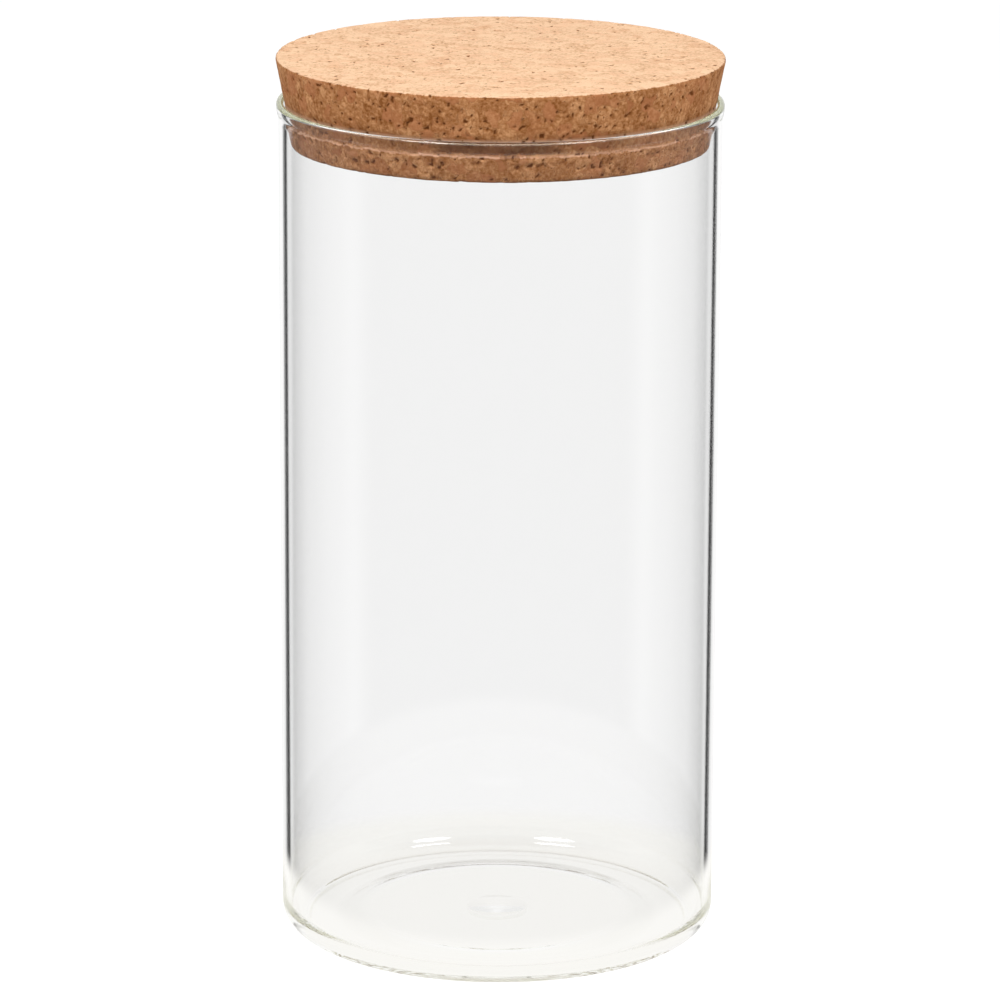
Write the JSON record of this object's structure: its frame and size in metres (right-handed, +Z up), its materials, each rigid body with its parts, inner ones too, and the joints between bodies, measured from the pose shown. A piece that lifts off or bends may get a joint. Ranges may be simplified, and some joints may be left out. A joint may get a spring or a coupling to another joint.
{
  "type": "glass storage jar with cork stopper",
  "caption": "Tall straight clear-glass storage jar with a flared rim and rounded heel, closed by a tapered stopper of pressed cork that lifts out.",
  "frame": {"origin": "on the surface that the jar stands on, at the jar's axis", "axes": "+Z up along the jar's axis, the way the stopper lifts out; X and Y are equal, because both pieces are round"},
  "size_m": [0.1012, 0.1012, 0.2041],
  "materials": {
    "clear_glass": "polished",
    "pressed_cork": "matte"
  },
  "bodies": {
    "jar": {"glass_jar": "clear_glass"},
    "stopper": {"cork_stopper": "pressed_cork"}
  },
  "joints": [
    {"name": "stopper_lift", "type": "slide", "parent": "jar", "child": "stopper", "axis": [0, 0, 1], "range_m": [0, 0.06]}
  ]
}
